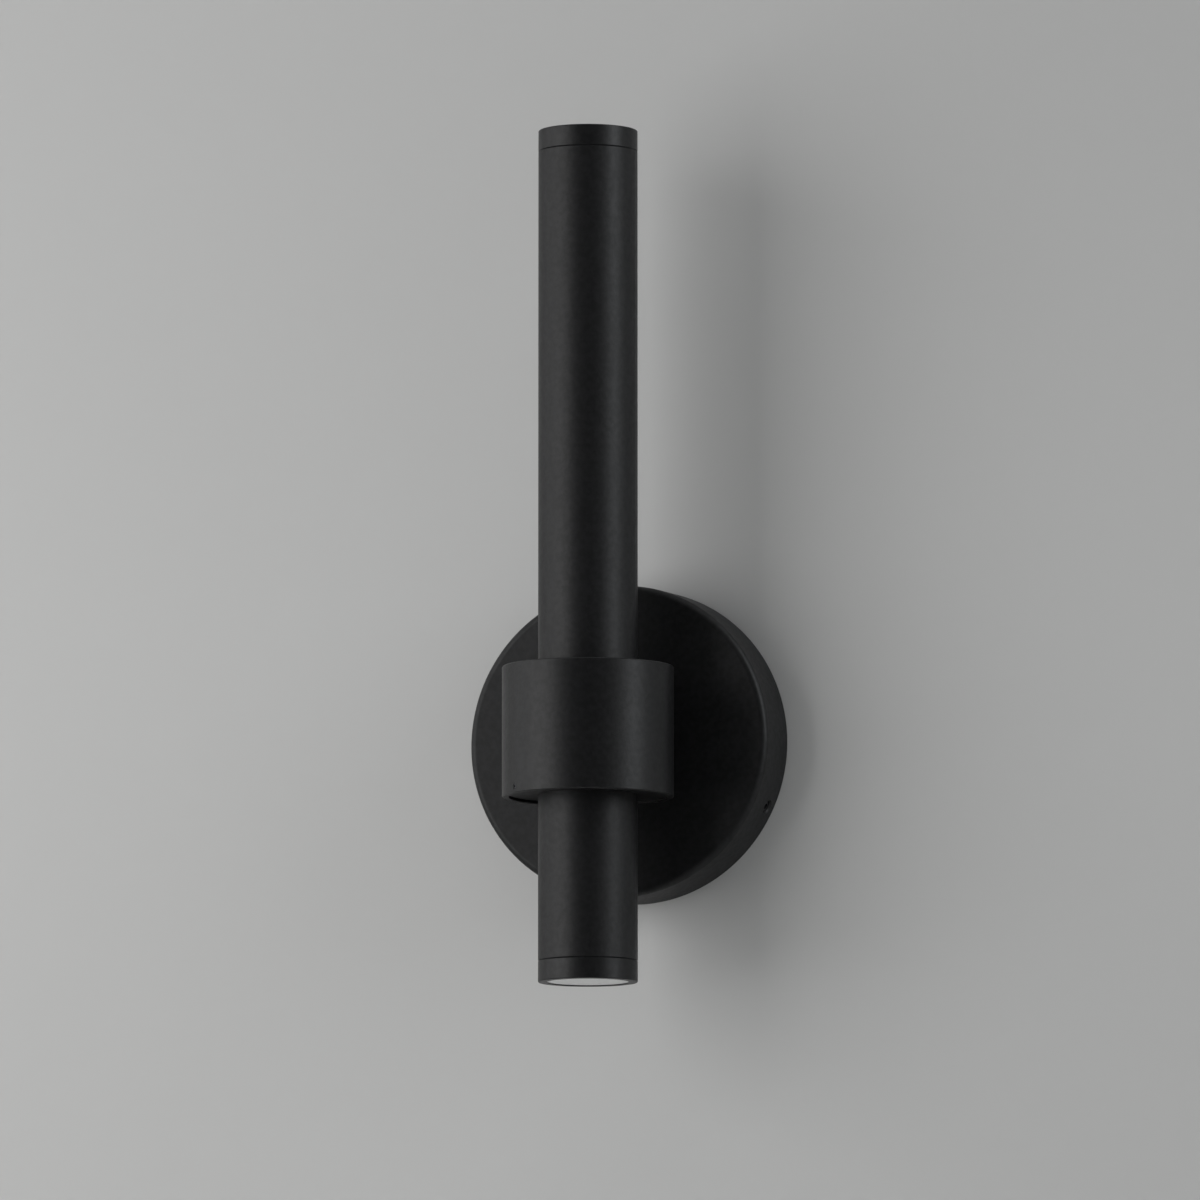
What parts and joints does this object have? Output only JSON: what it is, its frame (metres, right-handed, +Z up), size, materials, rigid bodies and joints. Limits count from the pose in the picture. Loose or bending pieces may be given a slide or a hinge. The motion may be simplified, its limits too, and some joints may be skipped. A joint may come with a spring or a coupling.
{
  "type": "outdoor wall sconce",
  "caption": "Slim round up and down light tube held off centre by a short round collar in front of a shallow round wall canopy, satin black with frosted end lenses.",
  "frame": {"origin": "centre of the canopy's back on the wall plane, which is the centre of the box screw slots", "axes": "+Y points into the wall, +Z up along the light tube, +X to the right seen from the front"},
  "size_m": [0.128, 0.0953, 0.3445],
  "materials": {
    "coat": "satin black powder coat",
    "zinc_plate": "bright zinc plated steel",
    "steel_screw": "blackened stainless screw",
    "bare_aluminium": "machined",
    "brass": "machined brass",
    "seal_rubber": "matt",
    "frosted_glass": "frosted, the light is off",
    "reflector": "vacuum metallised",
    "board": "white solder mask on an aluminium core",
    "led": "yellow phosphor",
    "nylon": "natural nylon",
    "driver_case": "white moulded case",
    "ground_green": "green dyed zinc",
    "lead_black": "black insulation",
    "lead_white": "white insulation",
    "lead_green": "green insulation",
    "lead_red": "red insulation"
  },
  "bodies": {
    "root": {"mounting_plate": "zinc_plate", "wall_gasket": "seal_rubber", "ground_screw": "ground_green", "ground_ring_terminal": "zinc_plate", "terminal_block": "nylon", "terminal_clamp_screws": "steel_screw", "terminal_fixing_screws": "steel_screw", "canopy": "coat", "canopy_set_screws": "steel_screw", "neck_o_ring": "seal_rubber", "neck_saddle": "coat", "locating_pin": "steel_screw", "threaded_nipple": "brass", "lock_washer": "zinc_plate", "hex_nut": "brass", "collar": "coat", "upper_collar_plate": "coat", "lower_collar_plate": "coat", "collar_plate_screws": "steel_screw", "collar_spacer": "bare_aluminium", "tube_gasket": "seal_rubber", "saddle_nut": "zinc_plate", "tube": "coat", "driver": "driver_case", "driver_bracket": "zinc_plate", "driver_screws": "steel_screw", "bracket_screw": "steel_screw", "line_lead": "lead_black", "neutral_lead": "lead_white", "ground_lead": "lead_green", "upper_led_leads": "lead_red", "lower_led_leads": "lead_red", "upper_bezel": "coat", "upper_lens": "frosted_glass", "upper_lens_gasket": "seal_rubber", "upper_reflector": "reflector", "upper_led_chip": "led", "upper_led_board": "board", "upper_board_screws": "steel_screw", "upper_heat_sink": "bare_aluminium", "lower_bezel": "coat", "lower_lens": "frosted_glass", "lower_lens_gasket": "seal_rubber", "lower_reflector": "reflector", "lower_led_chip": "led", "lower_led_board": "board", "lower_board_screws": "steel_screw", "lower_heat_sink": "bare_aluminium"}
  },
  "joints": []
}
